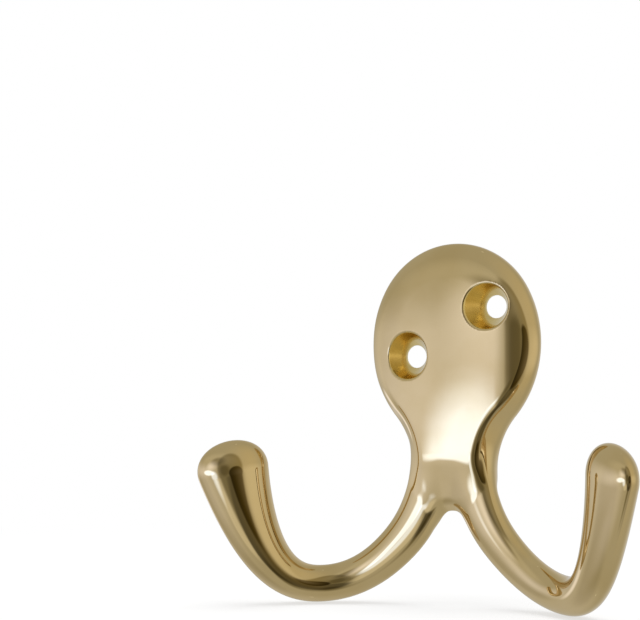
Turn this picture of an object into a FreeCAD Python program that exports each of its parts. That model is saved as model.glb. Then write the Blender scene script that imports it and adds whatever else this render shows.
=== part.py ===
import FreeCAD, Part
import math
import os

# Double robe hook: one brass casting. A pear-shaped wall plate with two countersunk screw holes narrows
# to a neck, and two mirrored arms bow down and out from it and rise forward to flattened club ends.
# Millimetres. X to the right, Y into the wall, Z up. The origin lies on the wall face, midway between
# the screw holes, so everything cast has a negative or zero Y.

Vector = FreeCAD.Vector

# Plate outline, along its widest line
head_radius = 14.8
cheek_angle = 30.0          # degrees above level where the head arc passes into the fuller cheek arc
neck_half_width = 7.6
neck_drop = 23.0            # narrowest line of the neck, below the head centre
neck_radius = 13.5          # hollow curve between cheek and arm
crotch_fall = 7.1           # lower edge of the web, below the narrowest line
crotch_radius = 3.8
crotch_half_angle = 58.0    # degrees of the crotch arc on either side of its top
web_undercut = 4.0          # at the wall the web's lower edge stands this far above its widest line

# Plate section
rim_depth = 1.6             # widest line of the rim, out from the wall
back_taper = 9.0            # degrees, from the widest line back to the wall
bevel_angle = 38.0          # degrees, from the widest line out to the crowned front
crown_depth = 5.2           # middle of the front, out from the wall
crown_radius = 70.0         # flatter middle of the front, across the plate and all round the head
crown_half_width = 8.5      # where the middle passes into the rolled edge
edge_roll_radius = 14.0
web_rise = 1.6              # the front starts to fall back this far above the neck's narrowest line
web_slope = 10.0            # degrees that the web's front leans back towards the wall
web_roll_radius = 12.0      # between the upright front and the sloping web

# Screw holes, one up on the right and one down on the left
hole_out = 7.3              # from the middle plane
hole_rise = 4.0             # from the head centre
hole_diameter = 3.8
hole_land = 0.8             # straight wall next to the back face
sink_angle = 58.0           # degrees, whole cone of the countersink

# Arms: control points of the right arm's centreline, and the section that goes with each.
# out is from the middle plane, reach is out from the wall, fall is below the neck's narrowest line,
# turn is how far the section's depth swings from straight out towards the middle, in degrees.
root_rise = 10.0            # start of the arm inside the head, above the narrowest line
root_cover = 0.4            # the plate's front stands this far over the root
root_proud = 0.2            # the root would stand this far behind the wall face, and is ground flat with it
root_half_width = 4.0

collar_out = 2.6
collar_reach = 2.3
collar_fall = 3.4
collar_half_width = 3.8
collar_half_depth = 2.25

shoulder_out = 9.8
shoulder_reach = 2.5
shoulder_fall = 14.7
shoulder_half_width = 3.2
shoulder_half_depth = 2.5
shoulder_turn = 16.0

bow_out = 22.0
bow_reach = 5.1
bow_fall = 21.4
bow_half_width = 3.0
bow_half_depth = 2.85
bow_turn = 36.0

heel_out = 30.1
heel_reach = 13.9
heel_fall = 17.7
heel_half_width = 3.3
heel_half_depth = 2.9
heel_turn = 46.0

tip_out = 33.1
tip_reach = 17.2
tip_fall = 0.7
tip_half_width = 5.9
tip_half_depth = 3.05
tip_turn = 39.0
tip_round = 5.6             # length of the rounded end beyond the last control point

# How finely the arms are lofted
arm_sections = 20
section_points = 12
tip_section_angles = (18.0, 36.0, 54.0, 72.0)

tool_clearance = 0.6        # cutting and trimming solids run this far past what they work on


def polar(centre, radius, angle):
    """Point of a circle in the X-Z plane, as an (x, z) pair."""
    return centre[0] + radius * math.cos(angle), centre[1] + radius * math.sin(angle)


class PlateOutline:
    """Tangent arcs of the plate's outline, with curves parallel to it at any inset."""

    def __init__(self):
        self.join = math.radians(cheek_angle)
        across = neck_half_width + neck_radius
        span = head_radius + neck_radius
        swell = (span**2 - across**2 - neck_drop**2) / (
            2 * (across * math.cos(self.join) - neck_drop * math.sin(self.join) - span))
        self.cheek_radius = head_radius + swell
        self.cheek_centre = polar((0.0, 0.0), -swell, self.join)
        self.neck_centre = (across, -neck_drop)
        self.turn_back = math.atan2(
            self.neck_centre[1] - self.cheek_centre[1], self.neck_centre[0] - self.cheek_centre[0])
        self.half_width = self.cheek_centre[0] + self.cheek_radius
        self.crotch_centre = (0.0, -(neck_drop + crotch_fall + crotch_radius))

    def wire(self, inset, depth, undercut=0.0):
        """Closed outline, inset from the widest line, at a depth out from the wall."""
        cheek = self.cheek_radius - inset
        hollow = neck_radius + inset
        crotch = crotch_radius + inset + undercut
        up = math.pi / 2
        crotch_end = up - math.radians(crotch_half_angle)
        shoulder = polar((0.0, 0.0), head_radius - inset, self.join)
        cheek_mid = polar(self.cheek_centre, cheek, (self.join + self.turn_back) / 2)
        waist = polar(self.cheek_centre, cheek, self.turn_back)
        hollow_mid = polar(self.neck_centre, hollow, math.pi + self.turn_back / 2)
        neck = (neck_half_width - inset, -neck_drop)
        foot = polar(self.crotch_centre, crotch, crotch_end)
        crotch_top = polar(self.crotch_centre, crotch, up)
        head_top = (0.0, head_radius - inset)

        def place(point, side=1):
            return Vector(side * point[0], -depth, point[1])

        def arc(start, middle, end, side):
            return Part.Arc(place(start, side), place(middle, side), place(end, side)).toShape()

        edges = [
            arc(shoulder, cheek_mid, waist, 1),
            arc(waist, hollow_mid, neck, 1),
            Part.makeLine(place(neck), place(foot)),
            Part.Arc(place(foot), place(crotch_top), place(foot, -1)).toShape(),
            Part.makeLine(place(foot, -1), place(neck, -1)),
            arc(neck, hollow_mid, waist, -1),
            arc(waist, cheek_mid, shoulder, -1),
            Part.Arc(place(shoulder, -1), place(head_top), place(shoulder)).toShape(),
        ]
        return Part.Wire(edges)


def crown_tool(half_width):
    """Solid whose front is the plate's crowned face: domed above, straight below, leaning back at the web."""
    join_angle = math.asin(crown_half_width / crown_radius)
    spread = crown_radius - edge_roll_radius
    roll_centre = (spread * math.sin(join_angle), crown_radius - crown_depth - spread * math.cos(join_angle))
    end_angle = math.asin((half_width - roll_centre[0]) / edge_roll_radius)

    def on_middle(angle):
        return Vector(crown_radius * math.sin(angle), crown_radius * (1 - math.cos(angle)) - crown_depth, 0)

    def on_edge(angle):
        return Vector(
            roll_centre[0] + edge_roll_radius * math.sin(angle),
            roll_centre[1] - edge_roll_radius * math.cos(angle), 0)

    def mirrored(point):
        return Vector(-point.x, point.y, point.z)

    front = on_middle(0)
    join = on_middle(join_angle)
    roll_mid = on_edge((join_angle + end_angle) / 2)
    end = on_edge(end_angle)
    corner = Vector(half_width, tool_clearance, 0)
    back = Vector(0, tool_clearance, 0)
    right_roll = Part.Arc(join, roll_mid, end).toShape()
    left_roll = Part.Arc(mirrored(end), mirrored(roll_mid), mirrored(join)).toShape()

    half_profile = Part.Face(Part.Wire([
        Part.Arc(front, on_middle(join_angle / 2), join).toShape(),
        right_roll,
        Part.makeLine(end, corner),
        Part.makeLine(corner, back),
        Part.makeLine(back, front),
    ]))
    profile = Part.Face(Part.Wire([
        left_roll,
        Part.Arc(mirrored(join), front, join).toShape(),
        right_roll,
        Part.makeLine(end, corner),
        Part.makeLine(corner, mirrored(corner)),
        Part.makeLine(mirrored(corner), mirrored(end)),
    ]))
    dome = half_profile.revolve(Vector(0, 0, 0), Vector(0, 1, 0), -180)
    web_top = web_rise - neck_drop
    shank = profile.extrude(Vector(0, 0, web_top))
    roll_axis = Vector(0, web_roll_radius - crown_depth, web_top)
    across = Vector(1, 0, 0)
    roll = profile.translated(Vector(0, 0, web_top)).revolve(roll_axis, across, web_slope)
    lean = profile.translated(Vector(0, 0, web_top))
    lean.rotate(roll_axis, across, web_slope)
    slope = math.radians(web_slope)
    fall = web_rise + crotch_fall + crotch_radius
    web = lean.extrude(Vector(0, math.sin(slope), -math.cos(slope)) * fall)
    return dome.fuse([shank, roll, web])


def make_plate():
    """Plate, neck and web: a bevelled rim on a tapered back, under the crowned front."""
    outline = PlateOutline()
    back_inset = rim_depth * math.tan(math.radians(back_taper))
    front_depth = crown_depth + tool_clearance
    front_inset = (front_depth - rim_depth) * math.tan(math.radians(bevel_angle))
    rim = Part.makeLoft([
        outline.wire(back_inset, 0, web_undercut),
        outline.wire(0, rim_depth),
        outline.wire(front_inset, front_depth),
    ], True, True)
    return rim.common(crown_tool(outline.half_width + tool_clearance))


def spline(points):
    """Clamped cubic through-end spline over six control points, on the range 0 to 1."""
    curve = Part.BSplineCurve()
    curve.buildFromPolesMultsKnots(points, [4, 1, 1, 4], [0, 1 / 3, 2 / 3, 1], False, 3)
    return curve


def arm_curves():
    """Centreline of the right arm, and a matching curve of half width, half depth and turn."""
    root_half_depth = (crown_depth - root_cover + root_proud) / 2
    root_reach = root_half_depth - root_proud
    centreline = spline([
        Vector(neck_half_width - root_half_width, -root_reach, root_rise - neck_drop),
        Vector(collar_out, -collar_reach, -neck_drop - collar_fall),
        Vector(shoulder_out, -shoulder_reach, -neck_drop - shoulder_fall),
        Vector(bow_out, -bow_reach, -neck_drop - bow_fall),
        Vector(heel_out, -heel_reach, -neck_drop - heel_fall),
        Vector(tip_out, -tip_reach, -neck_drop - tip_fall),
    ])
    sections = spline([
        Vector(root_half_width, root_half_depth, 0),
        Vector(collar_half_width, collar_half_depth, 0),
        Vector(shoulder_half_width, shoulder_half_depth, shoulder_turn),
        Vector(bow_half_width, bow_half_depth, bow_turn),
        Vector(heel_half_width, heel_half_depth, heel_turn),
        Vector(tip_half_width, tip_half_depth, tip_turn),
    ])
    return centreline, sections


def oval(centre, along, half_width, half_depth, turn):
    """Oval wire of two halves, square to the direction along, its depth turned from straight out
    towards the middle."""
    swing = math.radians(turn)
    deep = Vector(-math.sin(swing), -math.cos(swing), 0)
    deep = deep - along * deep.dot(along)
    deep.normalize()
    wide = deep.cross(along)
    points = []
    for i in range(section_points):
        angle = 2 * math.pi * i / section_points
        points.append(centre + wide * (half_width * math.cos(angle)) + deep * (half_depth * math.sin(angle)))
    curve = Part.BSplineCurve()
    curve.interpolate(points, PeriodicFlag=True)
    first = curve.FirstParameter
    last = curve.LastParameter
    middle = (first + last) / 2
    return Part.Wire([curve.toShape(first, middle), curve.toShape(middle, last)])


def make_arm():
    """Right arm: one loft from inside the head, round the bow, to the rounded club end."""
    centreline, sections = arm_curves()
    profiles = []
    step = centreline.length() / (arm_sections - 1)
    for i in range(arm_sections):
        t = centreline.parameterAtDistance(i * step, 0)
        size = sections.value(t)
        profiles.append(oval(centreline.value(t), centreline.tangent(t)[0], size.x, size.y, size.z))
    tip = centreline.value(1)
    along = centreline.tangent(1)[0]
    for angle in tip_section_angles:
        beyond = tip_round * math.sin(math.radians(angle))
        shrink = math.cos(math.radians(angle))
        half_width = tip_half_width * shrink
        half_depth = tip_half_depth * shrink
        profiles.append(oval(tip + along * beyond, along, half_width, half_depth, tip_turn))
    profiles.append(Part.Vertex(tip + along * tip_round))
    grind_height = neck_drop + bow_fall
    grind = Part.makeBox(2 * bow_out, crown_depth, grind_height, Vector(-bow_out, 0, -grind_height))
    return Part.makeLoft(profiles, True).cut(grind)


def screw_hole(x, z):
    """Straight land at the back and a steep countersink that opens through the crowned front."""
    hole = hole_diameter / 2
    mouth_depth = crown_depth + tool_clearance
    mouth = hole + (mouth_depth - hole_land) * math.tan(math.radians(sink_angle / 2))
    profile = Part.makePolygon([
        Vector(0, tool_clearance, 0),
        Vector(hole, tool_clearance, 0),
        Vector(hole, -hole_land, 0),
        Vector(mouth, -mouth_depth, 0),
        Vector(0, -mouth_depth, 0),
        Vector(0, tool_clearance, 0),
    ])
    tool = Part.Face(profile).revolve(Vector(0, 0, 0), Vector(0, 1, 0), 360)
    return tool.translated(Vector(x, 0, z))


def make_hook():
    """The whole casting."""
    arm = make_arm()
    other_arm = arm.mirror(Vector(0, 0, 0), Vector(1, 0, 0))
    casting = make_plate().fuse([arm, other_arm])
    holes = [screw_hole(hole_out, hole_rise), screw_hole(-hole_out, -hole_rise)]
    return casting.cut(holes).removeSplitter()


os.makedirs("parts", exist_ok=True)
hook = make_hook()
box = hook.BoundBox
print("solids", len(hook.Solids), "valid", hook.isValid(), "faces", len(hook.Faces))
print("volume", round(hook.Volume, 1), "area", round(hook.Area, 1))
print("x", round(box.XMin, 2), round(box.XMax, 2))
print("y", round(box.YMin, 2), round(box.YMax, 2))
print("z", round(box.ZMin, 2), round(box.ZMax, 2))
hook.exportStep("parts/double_robe_hook.step")
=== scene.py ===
import logging
import math
from collections.abc import Callable
from dataclasses import dataclass, field
from enum import Enum
from typing import Protocol

import bpy
import numpy as np
from mathutils import Matrix, Vector


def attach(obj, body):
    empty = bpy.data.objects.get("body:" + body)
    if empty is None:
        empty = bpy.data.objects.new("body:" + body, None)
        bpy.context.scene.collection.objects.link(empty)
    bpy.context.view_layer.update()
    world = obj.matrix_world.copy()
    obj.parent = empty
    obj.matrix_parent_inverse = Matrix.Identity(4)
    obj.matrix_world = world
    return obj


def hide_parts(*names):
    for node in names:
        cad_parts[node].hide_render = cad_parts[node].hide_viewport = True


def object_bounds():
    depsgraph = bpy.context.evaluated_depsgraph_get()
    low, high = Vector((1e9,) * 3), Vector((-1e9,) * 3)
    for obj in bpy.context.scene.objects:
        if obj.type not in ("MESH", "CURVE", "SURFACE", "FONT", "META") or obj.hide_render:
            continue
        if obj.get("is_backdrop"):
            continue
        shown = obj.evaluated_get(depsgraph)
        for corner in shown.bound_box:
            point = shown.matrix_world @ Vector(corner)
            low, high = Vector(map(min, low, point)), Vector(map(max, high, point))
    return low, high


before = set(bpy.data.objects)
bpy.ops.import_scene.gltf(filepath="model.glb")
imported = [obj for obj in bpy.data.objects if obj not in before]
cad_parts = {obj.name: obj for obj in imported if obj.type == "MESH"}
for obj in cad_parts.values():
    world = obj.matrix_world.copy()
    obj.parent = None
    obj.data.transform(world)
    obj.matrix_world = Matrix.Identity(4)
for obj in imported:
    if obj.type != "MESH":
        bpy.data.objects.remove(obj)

# Looks of a double robe hook in polished brass. Sizes of the casting are in millimetres, as a maker would
# read them off a drawing, and become metres when the mesh is made. X to the right, Y into the wall, Z up.

LOG = logging.getLogger("double_robe_hook")
MM = 0.001
IMAGE_WIDTH = 640
IMAGE_HEIGHT = 620
WAVE_RATE = 20.0  # radians for each unit of a wave texture

Array = np.ndarray
Pair = tuple[float, float]
Triple = tuple[float, float, float]
Field = Callable[[Array], Array]
Socket = bpy.types.NodeSocket


class Surface(Enum):
    """Which finish a face of the casting takes, as its material index."""

    POLISHED = 0
    UPPER_SINK = 1
    LOWER_SINK = 2
    GROUND_BACK = 3


def soft_max(first: Array, second: Array, ease: float) -> Array:
    """Meet of two signed distances, with the edge between them eased.

    Args:
        first: Signed distances to the first solid, negative inside.
        second: Signed distances to the second solid.
        ease: Width of the eased edge in millimetres.

    Returns:
        Signed distances to what both solids share.
    """
    near = np.maximum(ease - np.abs(first - second), 0.0) / ease
    return np.maximum(first, second) + near * near * ease / 4


def soft_min(first: Array, second: Array, ease: float) -> Array:
    """Union of two signed distances, with a fillet of about the ease where they meet.

    Args:
        first: Signed distances to the first solid, negative inside.
        second: Signed distances to the second solid.
        ease: Width of the fillet in millimetres.

    Returns:
        Signed distances to the joined solid.
    """
    return -soft_max(-first, -second, ease)


def polar(centre: Pair, radius: float, angle: float) -> Pair:
    """Point of a circle in the X-Z plane, as an (x, z) pair."""
    return centre[0] + radius * math.cos(angle), centre[1] + radius * math.sin(angle)


@dataclass
class WallPlate:
    """Pear-shaped plate that narrows to a neck and ends in a web between the two arms."""

    head_radius: float = 14.8
    cheek_angle: float = 30.0
    neck_half_width: float = 7.6
    neck_drop: float = 23.0
    neck_radius: float = 13.5
    crotch_fall: float = 7.1
    crotch_radius: float = 3.8
    crotch_half_angle: float = 58.0
    neck_straight: float = 3.0
    web_undercut: float = 4.0
    rim_depth: float = 1.6
    back_taper: float = 9.0
    bevel_angle: float = 38.0
    crown_depth: float = 5.2
    crown_radius: float = 70.0
    crown_half_width: float = 8.5
    edge_roll_radius: float = 14.0
    web_rise: float = 1.6
    web_slope: float = 10.0
    web_ease: float = 0.2
    rim_ease: float = 0.8
    crown_ease: float = 0.8
    crotch_ease: float = 1.2

    def side_line(self, x: Array, z: Array) -> Array:
        """Distance in the X-Z plane to the outline's arcs on the right, from the head to the web's foot.

        Args:
            x: Distances from the middle plane, none negative.
            z: Heights.

        Returns:
            Signed distances, negative inside the outline.
        """
        join = math.radians(self.cheek_angle)
        across = self.neck_half_width + self.neck_radius
        span = self.head_radius + self.neck_radius
        swell = (span**2 - across**2 - self.neck_drop**2) / (
            2 * (across * math.cos(join) - self.neck_drop * math.sin(join) - span))
        cheek = polar((0.0, 0.0), -swell, join)
        head_line = np.hypot(x, z) - self.head_radius
        cheek_line = np.hypot(x - cheek[0], z - cheek[1]) - self.head_radius - swell
        hollow_line = self.neck_radius - np.hypot(x - across, z + self.neck_drop)
        foot = polar(
            (0.0, -self.neck_drop - self.crotch_fall - self.crotch_radius), self.crotch_radius,
            math.pi / 2 - math.radians(self.crotch_half_angle))
        knee = -self.neck_drop - self.neck_straight
        run = math.hypot(foot[0] - self.neck_half_width, foot[1] - knee)
        normal = ((knee - foot[1]) / run, (foot[0] - self.neck_half_width) / run)
        foot_line = (x - self.neck_half_width) * normal[0] + (z - knee) * normal[1]
        above_cheek = z * math.cos(join) - x * math.sin(join) > 0
        along = (across - cheek[0], -self.neck_drop - cheek[1])
        above_waist = (z - cheek[1]) * along[0] - (x - cheek[0]) * along[1] > 0
        line = np.where(z > -self.neck_drop, hollow_line, x - self.neck_half_width)
        line = np.where(above_waist, cheek_line, line)
        line = np.where(above_cheek, head_line, line)
        return soft_max(line, foot_line, self.crotch_ease)

    def crown(self, x: Array, depth: Array, z: Array) -> Array:
        """Distance to the crowned front: domed above, straight below, leaning back at the web.

        Args:
            x: Distances from the middle plane, none negative.
            depth: Distances out from the wall.
            z: Heights.

        Returns:
            Signed distances, negative behind the front.
        """
        slope = math.radians(self.web_slope)
        above = z + self.neck_drop - self.web_rise
        lean = (depth - self.crown_depth) * math.cos(slope) - above * math.sin(slope)
        level = soft_max(depth, lean + self.crown_depth, self.web_ease)
        out = np.where(z > 0, np.hypot(x, z), x)
        join = math.asin(self.crown_half_width / self.crown_radius)
        spread = self.crown_radius - self.edge_roll_radius
        middle_depth = self.crown_depth - self.crown_radius
        roll = (spread * math.sin(join), middle_depth + spread * math.cos(join))
        middle = np.hypot(out, level - middle_depth) - self.crown_radius
        edge = np.hypot(out - roll[0], level - roll[1]) - self.edge_roll_radius
        on_edge = out * math.cos(join) > (level - middle_depth) * math.sin(join)
        return np.where(on_edge, edge, middle)

    def field(self, points: Array) -> Array:
        """Signed distance to the plate, neck and web, open at the back.

        Args:
            points: Places in millimetres, one in each row.

        Returns:
            Signed distances, negative inside.
        """
        x = np.abs(points[:, 0])
        depth = -points[:, 1]
        z = points[:, 2]
        side = self.side_line(x, z)
        below = depth - self.rim_depth
        taper = math.radians(self.back_taper)
        bevel = math.radians(self.bevel_angle)
        back = (side - below * math.tan(taper)) * math.cos(taper)
        front = (side + below * math.tan(bevel)) * math.cos(bevel)
        rim = soft_max(back, front, self.rim_ease)
        bottom = -self.neck_drop - self.crotch_fall - self.crotch_radius
        crotch = self.crotch_radius - np.hypot(x, z - bottom)
        under = math.atan(self.web_undercut / self.rim_depth + math.tan(taper))
        crotch_back = (crotch - below * math.tan(under)) * math.cos(under)
        crotch_front = (crotch + below * math.tan(bevel)) * math.cos(bevel)
        web_edge = soft_max(crotch_back, crotch_front, self.rim_ease)
        outline = soft_max(rim, web_edge, self.crotch_ease)
        return soft_max(outline, self.crown(x, depth, z), self.crown_ease)


@dataclass
class ScrewHole:
    """One countersunk hole: a short straight land at the back and a steep cone to the front.

    The cone is a little narrower than the cutter's, so that its eased rim measures what the cutter leaves.
    """

    out: float
    rise: float
    surface: Surface
    diameter: float = 3.8
    land: float = 0.8
    sink_angle: float = 54.0
    finish_margin: float = 0.12

    def field(self, points: Array) -> Array:
        """Signed distance that is positive in the hole, for a meet with the casting."""
        across = np.hypot(points[:, 0] - self.out, points[:, 2] - self.rise)
        half = math.radians(self.sink_angle / 2)
        cone = (self.diameter / 2 - across + (-points[:, 1] - self.land) * math.tan(half)) * math.cos(half)
        return np.maximum(self.diameter / 2 - across, cone)

    def lined(self, points: Array) -> Array:
        """Which of the points lie on the wall of the hole."""
        return self.field(points) > -self.finish_margin


@dataclass
class Arm:
    """Right arm: an oval section that turns and swells along one curve, from the neck to a club end.

    Each control point is (out from the middle plane, out from the wall, height), and goes with a section
    (half width, half depth, degrees of turn).
    """

    points: tuple[Triple, ...] = (
        (3.6, 2.3, -13.0), (2.6, 2.3, -26.4), (9.8, 2.5, -37.7),
        (22.0, 5.1, -44.4), (30.1, 13.9, -40.7), (33.1, 17.2, -23.7))
    sections: tuple[Triple, ...] = (
        (3.4, 1.5, 0.0), (3.8, 2.25, 0.0), (3.2, 2.5, 16.0),
        (3.0, 2.85, 36.0), (3.3, 2.9, 46.0), (5.9, 3.05, 39.0))
    tip_round: float = 5.6
    root_round: float = 2.0
    guide_count: int = 72
    settle_steps: int = 3
    least_stride: float = 0.3
    least_radius: float = 0.5
    chunk: int = 40000
    spans: Array = field(init=False, repr=False)

    def __post_init__(self) -> None:
        """Turn the control points and sections into one cubic for each of the three spans."""
        poles = np.array([(x, -out, z, *section) for (x, out, z), section in zip(self.points, self.sections)])
        self.spans = np.zeros((3, 4, poles.shape[1]))
        knots = np.array([0, 0, 0, 0, 1, 2, 3, 3, 3, 3]) / 3
        for span in range(3):
            local = np.array([0.0, 1 / 3, 2 / 3, 1.0])
            values = np.array([self.de_boor(poles, knots, span, (span + u) / 3) for u in local])
            self.spans[span] = np.linalg.solve(np.vander(local, 4, increasing=True), values)

    @staticmethod
    def de_boor(poles: Array, knots: Array, span: int, t: float) -> Array:
        """Value of the clamped cubic spline.

        Args:
            poles: Control points, one in each row.
            knots: Knots, with the ends repeated four times.
            span: Which of the spans holds t.
            t: Place along the curve, from 0 to 1.

        Returns:
            The point at t.
        """
        start = span + 3
        rows = [poles[start - 3 + j].copy() for j in range(4)]
        for level in range(1, 4):
            for j in range(3, level - 1, -1):
                low = knots[start - 3 + j]
                share = (t - low) / (knots[start + 1 + j - level] - low)
                rows[j] = (1 - share) * rows[j - 1] + share * rows[j]
        return rows[3]

    def along(self, t: Array, order: int, columns: slice) -> Array:
        """The curve or its derivatives by t.

        Args:
            t: Places along the curve, from 0 to 1.
            order: 0 for the value, 1 or 2 for a derivative.
            columns: Which columns of the curve to give.

        Returns:
            One row for each t.
        """
        span = np.minimum((t * 3).astype(int), 2)
        u = (t * 3 - span)[:, None]
        a, b, c, d = (self.spans[span, power, columns] for power in range(4))
        if order == 0:
            return a + u * (b + u * (c + u * d))
        if order == 1:
            return 3 * (b + u * (2 * c + u * 3 * d))
        return 9 * (2 * c + u * 6 * d)

    def nearest(self, points: Array) -> Array:
        """Places along the centreline that lie nearest to the points."""
        place = slice(0, 3)
        guides_t = np.linspace(0, 1, self.guide_count)
        guides = self.along(guides_t, 0, place)
        far = (guides * guides).sum(1)[None, :] - 2 * points @ guides.T
        t = guides_t[far.argmin(1)]
        for _ in range(self.settle_steps):
            gap = points - self.along(t, 0, place)
            first = self.along(t, 1, place)
            bend = (gap * self.along(t, 2, place)).sum(1)
            speed = (first * first).sum(1)
            stride = np.maximum(speed - bend, self.least_stride * speed)
            t = np.clip(t + (gap * first).sum(1) / stride, 0, 1)
        return t

    def field(self, points: Array) -> Array:
        """Signed distance to the right arm.

        Args:
            points: Places in millimetres, one in each row.

        Returns:
            Signed distances, negative inside.
        """
        parts = [self.piece(points[i:i + self.chunk]) for i in range(0, len(points), self.chunk)]
        return np.concatenate(parts)

    def piece(self, points: Array) -> Array:
        """Signed distance to the right arm for one chunk of points."""
        t = self.nearest(points)
        gap = points - self.along(t, 0, slice(0, 3))
        tangent = self.along(t, 1, slice(0, 3))
        speed = np.linalg.norm(tangent, axis=1)[:, None]
        tangent = tangent / speed
        size = self.along(t, 0, slice(3, 6))
        turn = np.radians(size[:, 2])
        deep = np.stack([-np.sin(turn), -np.cos(turn), np.zeros_like(turn)], 1)
        deep -= (deep * tangent).sum(1)[:, None] * tangent
        deep /= np.linalg.norm(deep, axis=1)[:, None]
        wide = np.cross(deep, tangent)
        beyond = np.where((t > 0) & (t < 1), 0, (gap * tangent).sum(1))
        growth = self.along(t, 1, slice(3, 5)) / speed
        radii = np.stack([*(size[:, :2] + growth * beyond[:, None]).T,
                          np.where(t > 0.5, self.tip_round, self.root_round)], 1)
        radii = np.maximum(radii, self.least_radius)
        local = np.stack([(gap * wide).sum(1), (gap * deep).sum(1), beyond], 1)
        reach = np.linalg.norm(local / radii, axis=1)
        slope = np.linalg.norm(local / radii**2, axis=1)
        return reach * (reach - 1) / np.maximum(slope, 1e-6)


@dataclass
class SurfaceNet:
    """Even quad mesh over the zero level of a signed distance, settled onto it."""

    low: Triple
    high: Triple
    step: float
    block: int = 4
    near_blocks: float = 1.8
    settle_steps: int = 4
    least_slope: float = 0.05
    longest_move: float = 0.5
    probe: float = 0.01

    def sample(self, distance: Field) -> Array:
        """Signed distances on the grid, worked out in full only near the surface.

        Args:
            distance: Function from points to signed distances.

        Returns:
            The distances, by X, Y and Z.
        """
        wide = self.step * self.block
        counts = [math.ceil((b - a) / wide) + 1 for a, b in zip(self.low, self.high)]
        coarse_points = np.array(self.low) + wide * np.indices(counts).reshape(3, -1).T
        values = distance(coarse_points).reshape(counts)
        for axis, count in enumerate(counts):
            fine = np.arange((count - 1) * self.block + 1) / self.block
            values = values.take(np.rint(fine).astype(int), axis)
        near = np.argwhere(np.abs(values) < self.near_blocks * wide)
        values[tuple(near.T)] = distance(np.array(self.low) + self.step * near)
        return values

    def mesh(self, distance: Field) -> tuple[Array, Array, Array]:
        """Mesh a solid.

        Args:
            distance: Function from points to signed distances.

        Returns:
            Vertices, quads and outward normals.
        """
        values = self.sample(distance)
        shape = values.shape
        inside = values < 0
        count = np.zeros([n - 1 for n in shape], np.int8)
        corners = [(i, j, k) for i in (0, 1) for j in (0, 1) for k in (0, 1)]
        for i, j, k in corners:
            count += inside[i:shape[0] - 1 + i, j:shape[1] - 1 + j, k:shape[2] - 1 + k]
        cells = np.argwhere((count > 0) & (count < 8))
        index = np.full(count.shape, -1)
        index[tuple(cells.T)] = np.arange(len(cells))
        total = np.zeros((len(cells), 3))
        crossings = np.zeros(len(cells))
        for axis in range(3):
            for corner in corners:
                if corner[axis]:
                    continue
                other = list(corner)
                other[axis] = 1
                first = values[tuple((cells + corner).T)]
                second = values[tuple((cells + other).T)]
                cross = (first < 0) != (second < 0)
                share = np.where(cross, first / np.where(cross, first - second, 1), 0)
                place = np.tile(np.array(corner, float), (len(cells), 1))
                place[:, axis] += share
                total += place * cross[:, None]
                crossings += cross
        vertices = np.array(self.low) + self.step * (cells + total / crossings[:, None])
        quads = np.concatenate([self.faces(inside, index, axis) for axis in range(3)])
        vertices, normals = self.settle(vertices, distance)
        return vertices, quads, normals

    @staticmethod
    def faces(inside: Array, index: Array, axis: int) -> Array:
        """Quads round the grid edges along one axis that cross the surface.

        Args:
            inside: Which grid points lie in the solid.
            index: Vertex number of each cell.
            axis: Direction of the grid edges.

        Returns:
            Quads, wound to face outward.
        """
        ahead = np.moveaxis(inside, axis, 0)
        numbers = np.moveaxis(index, axis, 0)
        crossing = ahead[1:, 1:-1, 1:-1] != ahead[:-1, 1:-1, 1:-1]
        i, j, k = np.nonzero(crossing)
        quad = np.stack([
            numbers[i, j, k], numbers[i, j + 1, k], numbers[i, j + 1, k + 1], numbers[i, j, k + 1]], 1)
        leaving = ahead[i, j + 1, k + 1]
        if axis == 1:
            leaving = ~leaving
        return np.where(leaving[:, None], quad, quad[:, ::-1])

    def slope(self, points: Array, distance: Field) -> Array:
        """Gradient of the signed distance at the points."""
        parts = []
        for axis in range(3):
            offset = np.zeros(3)
            offset[axis] = self.probe
            parts.append((distance(points + offset) - distance(points - offset)) / (2 * self.probe))
        return np.stack(parts, 1)

    def settle(self, points: Array, distance: Field) -> tuple[Array, Array]:
        """Slide points onto the surface.

        Args:
            points: Places near the surface.
            distance: Function from points to signed distances.

        Returns:
            The places on the surface and the outward normals there.
        """
        for _ in range(self.settle_steps):
            slope = self.slope(points, distance)
            steep = np.maximum((slope * slope).sum(1), self.least_slope)
            move = -(distance(points) / steep)[:, None] * slope
            length = np.linalg.norm(move, axis=1)[:, None]
            limit = self.longest_move * self.step
            points = points + move * np.minimum(1, limit / np.maximum(length, 1e-9))
        slope = self.slope(points, distance)
        return points, slope / np.linalg.norm(slope, axis=1)[:, None]


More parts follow.
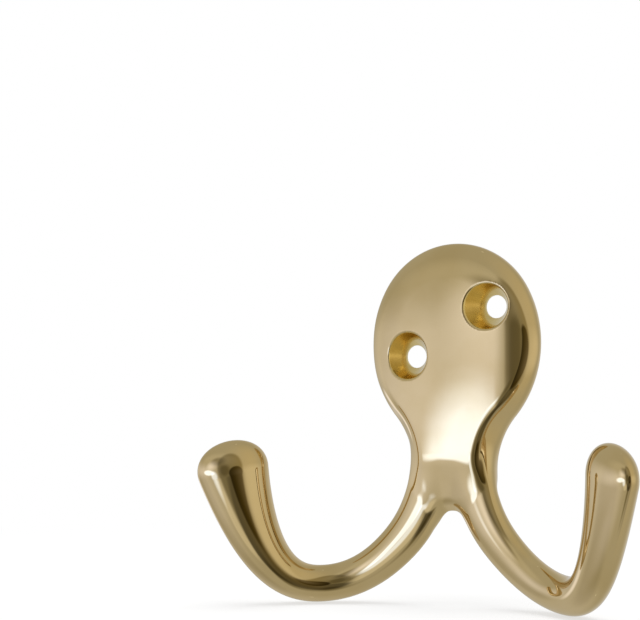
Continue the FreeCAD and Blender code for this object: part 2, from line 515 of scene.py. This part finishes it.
class NodeKit:
    """Small helper that adds shader nodes to a material or a world."""

    def __init__(self, owner: bpy.types.Material | bpy.types.World) -> None:
        """Start with the owner's node tree, emptied."""
        owner.use_nodes = True
        self.tree = owner.node_tree
        self.tree.nodes.clear()

    def add(self, kind: str) -> bpy.types.Node:
        """Add a node of a kind."""
        return self.tree.nodes.new(kind)

    def feed(self, socket: Socket, value: Socket | float | tuple | Vector) -> None:
        """Join an input to another node's output, or set it to a plain value."""
        if isinstance(value, Socket):
            self.tree.links.new(value, socket)
        else:
            socket.default_value = value

    def place(self) -> Socket:
        """Coordinates of the object itself, in metres."""
        return self.add("ShaderNodeTexCoord").outputs["Object"]

    def math(self, operation: str, *values: Socket | float) -> Socket:
        """Sum on numbers."""
        node = self.add("ShaderNodeMath")
        node.operation = operation
        for socket, value in zip(node.inputs, values):
            self.feed(socket, value)
        return node.outputs["Value"]

    def vector_math(self, operation: str, *values: Socket | tuple | Vector) -> Socket:
        """Sum on vectors, which gives a number for a length and a vector otherwise."""
        node = self.add("ShaderNodeVectorMath")
        node.operation = operation
        for socket, value in zip(node.inputs, values):
            self.feed(socket, value)
        return node.outputs["Value" if operation == "LENGTH" else "Vector"]

    def noise(self, place: Socket, size: float, detail: float) -> Socket:
        """Cloudy noise.

        Args:
            place: Coordinates in metres.
            size: Size of the clouds in millimetres.
            detail: How many finer layers it has.

        Returns:
            The noise, from 0 to 1.
        """
        node = self.add("ShaderNodeTexNoise")
        self.feed(node.inputs["Scale"], 1 / (size * MM))
        self.feed(node.inputs["Detail"], detail)
        self.feed(node.inputs["Vector"], place)
        return node.outputs["Fac"]

    def stretch(self, place: Socket, scale: Triple) -> Socket:
        """Coordinates scaled along each axis."""
        return self.vector_math("MULTIPLY", place, scale)

    def rings(self, place: Socket, pitch: float) -> Socket:
        """Rings round the Y axis, a pitch in millimetres apart."""
        node = self.add("ShaderNodeTexWave")
        node.wave_type = "RINGS"
        node.rings_direction = "Y"
        self.feed(node.inputs["Scale"], 2 * math.pi / (WAVE_RATE * pitch * MM))
        self.feed(node.inputs["Vector"], place)
        return node.outputs["Fac"]

    def ramp(self, value: Socket, dark: Triple, light: Triple, change: Pair) -> Socket:
        """Colour that goes from dark to light with a value.

        Args:
            value: What drives the colour.
            dark: Colour before the change.
            light: Colour after the change.
            change: Values where the change starts and ends.

        Returns:
            The colour.
        """
        node = self.add("ShaderNodeValToRGB")
        first, last = node.color_ramp.elements
        first.position, last.position = change
        first.color, last.color = (*dark, 1.0), (*light, 1.0)
        self.feed(node.inputs["Fac"], value)
        return node.outputs["Color"]

    def spread(self, value: Socket, results: Pair, span: Pair = (0.0, 1.0), smooth: bool = False) -> Socket:
        """A value carried from one range to another.

        Args:
            value: The value.
            results: What the ends of the span become.
            span: Range of the value.
            smooth: Whether the change eases in and out.

        Returns:
            The carried value, held within the results.
        """
        node = self.add("ShaderNodeMapRange")
        node.interpolation_type = "SMOOTHSTEP" if smooth else "LINEAR"
        self.feed(node.inputs["Value"], value)
        for name, end in zip(("From Min", "From Max", "To Min", "To Max"), (*span, *results)):
            self.feed(node.inputs[name], end)
        return node.outputs["Result"]

    def bump(self, height: Socket, rise: float, under: Socket | None = None) -> Socket:
        """Relief from a height.

        Args:
            height: The height, from 0 to 1.
            rise: How high 1 stands, in millimetres.
            under: Normal of the relief below it, or None for the plain surface.

        Returns:
            The normal.
        """
        node = self.add("ShaderNodeBump")
        self.feed(node.inputs["Distance"], rise * MM)
        self.feed(node.inputs["Height"], height)
        if under is not None:
            self.feed(node.inputs["Normal"], under)
        return node.outputs["Normal"]

    def metal(self, colour: Socket, rough: Socket, normal: Socket) -> None:
        """Finish the tree as bare metal.

        Args:
            colour: Colour of the metal.
            rough: Roughness.
            normal: Normal of its relief.
        """
        shader = self.add("ShaderNodeBsdfPrincipled")
        self.feed(shader.inputs["Metallic"], 1.0)
        self.feed(shader.inputs["Base Color"], colour)
        self.feed(shader.inputs["Roughness"], rough)
        self.feed(shader.inputs["Normal"], normal)
        self.end(shader.outputs["BSDF"])

    def end(self, shader: Socket, kind: str = "ShaderNodeOutputMaterial") -> None:
        """Send a shader to the tree's output."""
        self.feed(self.add(kind).inputs["Surface"], shader)


class Finish(Protocol):
    """A finish of the casting."""

    def material(self) -> bpy.types.Material:
        """The node material."""


@dataclass(frozen=True)
class PolishedBrass:
    """Cast brass, buffed bright: faint waviness from the buffing wheel and slight tarnish in the metal."""

    name: str = "polished_brass"
    colour: Triple = (0.74, 0.58, 0.325)
    tarnish: Triple = (0.70, 0.54, 0.285)
    tarnish_change: Pair = (0.30, 0.55)
    roughness: Pair = (0.06, 0.02)
    cloud_size: float = 9.0
    cloud_detail: float = 3.0
    wave_size: float = 6.0
    wave_detail: float = 1.0
    wave_height: float = 0.008
    scratch_size: float = 0.5
    scratch_detail: float = 2.0
    scratch_height: float = 0.0006
    scratch_stretch: Triple = (1.0, 1.0, 0.12)

    def material(self) -> bpy.types.Material:
        """The node material."""
        material = bpy.data.materials.new(self.name)
        kit = NodeKit(material)
        place = kit.place()
        cloud = kit.noise(place, self.cloud_size, self.cloud_detail)
        colour = kit.ramp(cloud, self.tarnish, self.colour, self.tarnish_change)
        wave = kit.noise(place, self.wave_size, self.wave_detail)
        along = kit.stretch(place, self.scratch_stretch)
        scratch = kit.noise(along, self.scratch_size, self.scratch_detail)
        normal = kit.bump(scratch, self.scratch_height, kit.bump(wave, self.wave_height))
        kit.metal(colour, kit.spread(cloud, self.roughness), normal)
        return material


@dataclass(frozen=True)
class TurnedBrass:
    """Satin wall of a countersink, with the fine rings that the cutter leaves."""

    name: str
    centre: Pair
    colour: Triple = (0.88, 0.70, 0.32)
    shade: Triple = (0.78, 0.60, 0.25)
    shade_change: Pair = (0.30, 0.60)
    roughness: Pair = (0.17, 0.13)
    ring_pitch: float = 0.34
    ring_height: float = 0.0002
    cloud_size: float = 3.0
    cloud_detail: float = 3.0

    def material(self) -> bpy.types.Material:
        """The node material."""
        material = bpy.data.materials.new(self.name)
        kit = NodeKit(material)
        place = kit.place()
        centred = kit.vector_math("SUBTRACT", place, (self.centre[0] * MM, 0.0, self.centre[1] * MM))
        cloud = kit.noise(place, self.cloud_size, self.cloud_detail)
        colour = kit.ramp(cloud, self.shade, self.colour, self.shade_change)
        normal = kit.bump(kit.rings(centred, self.ring_pitch), self.ring_height)
        kit.metal(colour, kit.spread(cloud, self.roughness), normal)
        return material


@dataclass(frozen=True)
class GroundBrass:
    """Flat back, ground on a belt: satin, with fine lines along the belt and dull patches of tarnish."""

    name: str = "ground_brass"
    colour: Triple = (0.72, 0.56, 0.31)
    tarnish: Triple = (0.60, 0.45, 0.23)
    tarnish_change: Pair = (0.35, 0.60)
    roughness: Pair = (0.42, 0.28)
    cloud_size: float = 7.0
    cloud_detail: float = 4.0
    line_width: float = 0.25
    line_detail: float = 2.0
    line_height: float = 0.004
    line_stretch: Triple = (1.0, 1.0, 0.02)

    def material(self) -> bpy.types.Material:
        """The node material."""
        material = bpy.data.materials.new(self.name)
        kit = NodeKit(material)
        place = kit.place()
        cloud = kit.noise(place, self.cloud_size, self.cloud_detail)
        colour = kit.ramp(cloud, self.tarnish, self.colour, self.tarnish_change)
        lines = kit.noise(kit.stretch(place, self.line_stretch), self.line_width, self.line_detail)
        kit.metal(colour, kit.spread(cloud, self.roughness), kit.bump(lines, self.line_height))
        return material


@dataclass
class RobeHook:
    """The whole casting: plate, two mirrored arms and two screw holes in one piece of brass."""

    plate: WallPlate = field(default_factory=WallPlate)
    arm: Arm = field(default_factory=Arm)
    holes: tuple[ScrewHole, ...] = (
        ScrewHole(7.3, 4.0, Surface.UPPER_SINK), ScrewHole(-7.3, -4.0, Surface.LOWER_SINK))
    join_ease: float = 1.35
    arms_ease: float = 1.6
    back_ease: float = 0.5
    sink_ease: float = 0.3
    cell: float = 0.27
    margin: float = 0.75
    back_margin: float = 0.02

    def distance(self, points: Array) -> Array:
        """Signed distance to the casting.

        Args:
            points: Places in millimetres, one in each row.

        Returns:
            Signed distances, negative inside.
        """
        flipped = points * np.array([-1.0, 1.0, 1.0])
        arms = soft_min(self.arm.field(points), self.arm.field(flipped), self.arms_ease)
        solid = soft_min(self.plate.field(points), arms, self.join_ease)
        solid = soft_max(solid, points[:, 1], self.back_ease)
        for hole in self.holes:
            solid = soft_max(solid, hole.field(points), self.sink_ease)
        return solid

    def build(self, low: Vector, high: Vector) -> bpy.types.Object:
        """Make the casting's mesh.

        Args:
            low: Lowest corner of the model, in metres.
            high: Highest corner of the model, in metres.

        Returns:
            The object, with smooth normals taken from the form itself.
        """
        net = SurfaceNet(
            tuple(v / MM - self.margin for v in low), tuple(v / MM + self.margin for v in high), self.cell)
        vertices, quads, normals = net.mesh(self.distance)
        mesh = bpy.data.meshes.new("hook_casting")
        mesh.from_pydata((vertices * MM).tolist(), [], quads.tolist())
        mesh.polygons.foreach_set("use_smooth", np.ones(len(quads), bool))
        index = np.full(len(quads), Surface.POLISHED.value)
        for hole in self.holes:
            index[hole.lined(vertices)[quads].all(1)] = hole.surface.value
        index[(vertices[:, 1] > -self.back_margin)[quads].all(1)] = Surface.GROUND_BACK.value
        for finish in self.finishes():
            mesh.materials.append(finish.material())
        mesh.polygons.foreach_set("material_index", index)
        mesh.update()
        mesh.normals_split_custom_set_from_vertices(normals.tolist())
        piece = bpy.data.objects.new("hook_casting", mesh)
        bpy.context.scene.collection.objects.link(piece)
        return piece

    def finishes(self) -> list[Finish]:
        """Finishes in the order of the Surface numbers."""
        sinks = {hole.surface: hole for hole in self.holes}
        upper = sinks[Surface.UPPER_SINK]
        lower = sinks[Surface.LOWER_SINK]
        return [
            PolishedBrass(),
            TurnedBrass("turned_brass_upper", (upper.out, upper.rise)),
            TurnedBrass("turned_brass_lower", (lower.out, lower.rise)),
            GroundBrass(),
        ]

    def dress(self, piece: bpy.types.Object) -> None:
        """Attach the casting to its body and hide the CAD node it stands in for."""
        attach(piece, "root")
        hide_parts("double_robe_hook")


@dataclass
class PhotoCamera:
    """Camera at the photograph's viewing angle, with its frame set by a shift."""

    azimuth: float = 25.91
    elevation: float = 0.49
    distance: float = 271.63
    focal_pixels: float = 1624.3
    origin_pixel: Pair = (457.7, 332.11)
    centre_pixel: Pair = (420.0, 430.0)
    sensor: float = 36.0

    def axes(self) -> tuple[Vector, Vector, Vector]:
        """Directions to the right, up and back towards the camera."""
        a = math.radians(self.azimuth)
        e = math.radians(self.elevation)
        right = Vector((math.cos(a), math.sin(a), 0.0))
        back = Vector((math.sin(a) * math.cos(e), -math.cos(a) * math.cos(e), math.sin(e)))
        return right, back.cross(right), back

    def build(self) -> None:
        """Make the camera and set it as the scene's own."""
        right, up, back = self.axes()
        scale = self.focal_pixels / self.distance
        across = (self.origin_pixel[0] - self.centre_pixel[0]) / scale
        rise = (self.centre_pixel[1] - self.origin_pixel[1]) / scale
        place = (back * self.distance - right * across - up * rise) * MM
        data = bpy.data.cameras.new("photo_camera")
        data.sensor_width = self.sensor
        data.sensor_fit = "HORIZONTAL"
        data.lens = self.focal_pixels * self.sensor / IMAGE_WIDTH
        data.shift_x = (IMAGE_WIDTH / 2 - self.centre_pixel[0]) / IMAGE_WIDTH
        data.shift_y = (self.centre_pixel[1] - IMAGE_HEIGHT / 2) / IMAGE_WIDTH
        data.clip_start = 0.01
        data.dof.use_dof = False
        camera = bpy.data.objects.new("photo_camera", data)
        turn = Matrix((right, up, back)).transposed().to_4x4()
        camera.matrix_world = Matrix.Translation(place) @ turn
        bpy.context.scene.collection.objects.link(camera)
        bpy.context.scene.camera = camera


def direction(azimuth: float, elevation: float) -> Vector:
    """Unit direction from the hook, with azimuth 0 straight out from the wall and 90 to the right.

    Args:
        azimuth: Degrees round the upright axis.
        elevation: Degrees above level.

    Returns:
        The direction.
    """
    a = math.radians(azimuth)
    e = math.radians(elevation)
    return Vector((math.sin(a) * math.cos(e), -math.cos(a) * math.cos(e), math.sin(e)))


class PatchKind(Enum):
    """What a patch of the tent does to the cloth's own light."""

    GLOW = "adds light"
    SHADE = "takes a share away"


class Tint(Enum):
    """Share of red, green and blue that a patch adds or takes."""

    NEUTRAL = (1.0, 1.0, 1.0)
    DAYLIGHT = (0.40, 0.55, 1.0)
    OVERCAST = (0.65, 0.70, 1.0)
    LAMPLIGHT = (1.0, 0.70, 0.10)
    SMOKE = (0.82, 0.86, 1.0)


@dataclass(frozen=True)
class Patch:
    """Soft-edged oval of the tent, in degrees as seen from the hook.

    It lies at an azimuth and an elevation, reaches so far to each side and up and down, and may lean.
    """

    kind: PatchKind
    tint: Tint
    at: Pair
    reach: Pair
    level: float
    soft: float
    lean: float = 0.0
    depth: float = 0.5

    def mask(self, kit: NodeKit, place: Socket) -> Socket:
        """How much of the patch shows in a direction.

        Args:
            kit: The tent's nodes.
            place: Unit direction from the hook.

        Returns:
            A value from 0 outside the patch to 1 inside it.
        """
        out = direction(*self.at)
        level = direction(self.at[0] + 90, 0)
        right = Matrix.Rotation(math.radians(self.lean), 3, out) @ level
        wide, high = (math.sin(math.radians(angle)) for angle in self.reach)
        local = kit.add("ShaderNodeMapping")
        local.vector_type = "TEXTURE"
        kit.feed(local.inputs["Vector"], place)
        kit.feed(local.inputs["Location"], out)
        kit.feed(local.inputs["Rotation"], Matrix((right, -out, right.cross(-out))).transposed().to_euler())
        kit.feed(local.inputs["Scale"], (wide, self.depth, high))
        away = kit.vector_math("LENGTH", local.outputs["Vector"])
        return kit.spread(away, (1.0, 0.0), (1 - self.soft, 1 + self.soft), smooth=True)

    def lay(self, kit: NodeKit, light: Socket, place: Socket) -> Socket:
        """Lay the patch over the light so far.

        Args:
            kit: The tent's nodes.
            light: Light of the cloth so far.
            place: Unit direction from the hook.

        Returns:
            The light with the patch.
        """
        mask = self.mask(kit, place)
        amount = Vector(self.tint.value) * self.level
        if self.kind is PatchKind.GLOW:
            return kit.vector_math("MULTIPLY_ADD", mask, amount, light)
        share = kit.vector_math("MULTIPLY_ADD", mask, -amount, (1.0, 1.0, 1.0))
        return kit.vector_math("MULTIPLY", light, share)


@dataclass
class LightTent:
    """Grey cloth all round the hook, with a bright window and dimmer parts for its polish to mirror."""

    radius: float = 0.45
    columns: int = 73
    rows: int = 37
    pole_gap: float = 1.0
    cloth: Triple = (0.48, 0.47, 0.40)
    dim_parts: tuple[Patch, ...] = (
        Patch(PatchKind.SHADE, Tint.SMOKE, at=(31, 4), reach=(23, 46), level=0.64, soft=0.13, lean=10),
        Patch(PatchKind.SHADE, Tint.NEUTRAL, at=(42, -3), reach=(12, 13), level=0.93, soft=0.14),
        Patch(PatchKind.SHADE, Tint.NEUTRAL, at=(37, -24), reach=(15, 16), level=0.52, soft=0.16),
        Patch(PatchKind.SHADE, Tint.SMOKE, at=(34, -37), reach=(6, 11), level=0.70, soft=0.60),
        Patch(PatchKind.SHADE, Tint.SMOKE, at=(22, 2), reach=(9, 12), level=0.50, soft=0.45, lean=10),
        Patch(PatchKind.SHADE, Tint.SMOKE, at=(3, 23.5), reach=(15, 10), level=0.65, soft=0.50),
        Patch(PatchKind.SHADE, Tint.NEUTRAL, at=(52, -26), reach=(10, 25), level=0.30, soft=0.30),
        Patch(PatchKind.SHADE, Tint.SMOKE, at=(-59, -31), reach=(27, 75), level=0.20, soft=0.30),
    )
    window: tuple[Patch, ...] = (
        Patch(PatchKind.GLOW, Tint.OVERCAST, at=(-9, 12), reach=(11, 9), level=0.70, soft=0.95),
        Patch(PatchKind.GLOW, Tint.DAYLIGHT, at=(-16.5, -4.5), reach=(16, 6), level=1.95, soft=0.35),
        Patch(PatchKind.GLOW, Tint.DAYLIGHT, at=(0, -12), reach=(7, 9.5), level=1.50, soft=0.45),
        Patch(PatchKind.GLOW, Tint.NEUTRAL, at=(10, -26), reach=(10, 10), level=0.22, soft=0.35),
    )
    walls: tuple[Patch, ...] = (
        Patch(PatchKind.GLOW, Tint.OVERCAST, at=(-55, 1), reach=(58, 12), level=0.53, soft=0.95),
        Patch(PatchKind.GLOW, Tint.OVERCAST, at=(-36, -22.5), reach=(28, 19), level=0.30, soft=0.90),
        Patch(PatchKind.GLOW, Tint.OVERCAST, at=(-112, -15), reach=(11, 6), level=0.80, soft=0.40),
        Patch(PatchKind.GLOW, Tint.OVERCAST, at=(-108, -42), reach=(27, 70), level=0.15, soft=0.60),
        Patch(PatchKind.GLOW, Tint.LAMPLIGHT, at=(72, 14), reach=(29, 75), level=0.13, soft=0.95),
        Patch(PatchKind.GLOW, Tint.NEUTRAL, at=(82, -2), reach=(32, 11), level=0.13, soft=0.60),
        Patch(PatchKind.GLOW, Tint.NEUTRAL, at=(-12, 31), reach=(50, 14), level=0.09, soft=0.60),
        Patch(PatchKind.GLOW, Tint.OVERCAST, at=(180, 0), reach=(38, 45), level=0.28, soft=0.80),
    )

    def build(self, target: Vector) -> None:
        """Make the tent round the target, seen only in reflections."""
        turns = np.linspace(-180.0, 180.0, self.columns)
        rises = np.linspace(self.pole_gap - 90.0, 90.0 - self.pole_gap, self.rows)
        points = [tuple(direction(a, e) * self.radius) for e in rises for a in turns]
        faces = []
        for row in range(self.rows - 1):
            for column in range(self.columns - 1):
                first = row * self.columns + column
                faces.append((first, first + self.columns, first + self.columns + 1, first + 1))
        mesh = bpy.data.meshes.new("light_tent")
        mesh.from_pydata(points, [], faces)
        mesh.materials.append(self.material())
        tent = bpy.data.objects.new("light_tent", mesh)
        tent.location = target
        tent.visible_camera = False
        tent.visible_diffuse = False
        tent.visible_shadow = False
        bpy.context.scene.collection.objects.link(tent)
        tent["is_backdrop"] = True

    def material(self) -> bpy.types.Material:
        """Glowing cloth whose light varies over the tent."""
        material = bpy.data.materials.new("light_tent")
        kit = NodeKit(material)
        place = kit.vector_math("NORMALIZE", kit.place())
        light = kit.add("ShaderNodeRGB").outputs["Color"]
        light.default_value = (*self.cloth, 1.0)
        for patch in (*self.dim_parts, *self.window, *self.walls):
            light = patch.lay(kit, light, place)
        glow = kit.add("ShaderNodeEmission")
        kit.feed(glow.inputs["Color"], light)
        kit.end(glow.outputs["Emission"])
        return material


@dataclass(frozen=True)
class TopLamp:
    """Soft lamp overhead that lights the floor and lays the hook's shadow on it."""

    height: float = 0.9
    size: float = 0.7
    power: float = 6.0

    def build(self, target: Vector) -> None:
        """Make the lamp over the target, facing down."""
        data = bpy.data.lights.new("top_lamp", "AREA")
        data.shape = "SQUARE"
        data.size = self.size
        data.energy = self.power
        lamp = bpy.data.objects.new("top_lamp", data)
        lamp.location = target + Vector((0.0, 0.0, self.height))
        lamp.visible_glossy = False
        bpy.context.scene.collection.objects.link(lamp)


@dataclass
class Studio:
    """Pale floor, white backdrop, light tent and top lamp."""

    floor_size: float = 6.0
    floor_gap: float = 0.0002
    floor_colour: Triple = (0.93, 0.93, 0.93)
    shadow_share: float = 0.35
    shadow_near: float = 0.09
    shadow_far: float = 0.22
    dome_strength: float = 0.6
    target: Triple = (0.0, -0.006, -0.016)
    tent: LightTent = field(default_factory=LightTent)
    lamp: TopLamp = field(default_factory=TopLamp)

    def build(self, low: Vector) -> None:
        """Make the floor, the backdrop, the tent and the lamp.

        Args:
            low: Lowest corner of the model, in metres.
        """
        self.make_floor(low.z - self.floor_gap)
        self.make_world()
        self.tent.build(Vector(self.target))
        self.lamp.build(Vector(self.target))
        bpy.context.scene.view_settings.view_transform = "Standard"

    def make_floor(self, height: float) -> None:
        """Pale floor that looks white and keeps a soft shadow."""
        half = self.floor_size / 2
        mesh = bpy.data.meshes.new("floor")
        mesh.from_pydata(
            [(-half, -half, height), (half, -half, height), (half, half, height), (-half, half, height)],
            [], [(0, 1, 2, 3)])
        mesh.materials.append(self.floor_material())
        floor = bpy.data.objects.new("floor", mesh)
        floor.visible_glossy = False
        bpy.context.scene.collection.objects.link(floor)
        floor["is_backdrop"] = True

    def floor_material(self) -> bpy.types.Material:
        """Diffuse floor that the camera sees mostly as plain white, all white away from the hook."""
        material = bpy.data.materials.new("floor")
        kit = NodeKit(material)
        diffuse = kit.add("ShaderNodeBsdfDiffuse")
        kit.feed(diffuse.inputs["Color"], (*self.floor_colour, 1.0))
        away = kit.vector_math("LENGTH", kit.place())
        share = kit.spread(
            away, (1 - self.shadow_share, 1.0), (self.shadow_near, self.shadow_far), smooth=True)
        seen = kit.math("MULTIPLY", kit.add("ShaderNodeLightPath").outputs["Is Camera Ray"], share)
        mix = kit.add("ShaderNodeMixShader")
        kit.feed(mix.inputs["Fac"], seen)
        kit.feed(mix.inputs[1], diffuse.outputs["BSDF"])
        kit.feed(mix.inputs[2], kit.add("ShaderNodeEmission").outputs["Emission"])
        kit.end(mix.outputs["Shader"])
        return material

    def make_world(self) -> None:
        """White backdrop for the camera and the polish, and a dimmer dome that lights the floor."""
        world = bpy.data.worlds.new("white_backdrop")
        bpy.context.scene.world = world
        kit = NodeKit(world)
        rays = kit.add("ShaderNodeLightPath").outputs
        seen = rays["Is Camera Ray"]
        for ray in ("Is Glossy Ray", "Is Transmission Ray"):
            seen = kit.math("MAXIMUM", seen, rays[ray])
        background = kit.add("ShaderNodeBackground")
        kit.feed(background.inputs["Color"], (1.0, 1.0, 1.0, 1.0))
        kit.feed(background.inputs["Strength"], kit.spread(seen, (self.dome_strength, 1.0)))
        kit.end(background.outputs["Background"], "ShaderNodeOutputWorld")


def main() -> None:
    """Build the hook and its studio, and work out how large the model is."""
    logging.basicConfig(level=logging.INFO, format="%(name)s: %(message)s")
    cad_low, cad_high = (Vector(corner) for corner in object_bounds())
    hook = RobeHook()
    piece = hook.build(cad_low, cad_high)
    hook.dress(piece)
    LOG.info("casting: %d faces", len(piece.data.polygons))
    Studio().build(cad_low)
    LOG.info("studio: floor, backdrop, tent and lamp")
    PhotoCamera().build()
    LOG.info("camera at the photograph's angle")
    low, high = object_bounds()
    sizes = {"cad": [list(cad_low), list(cad_high)], "visual": [list(low), list(high)]}


if __name__ == "__main__":
    main()
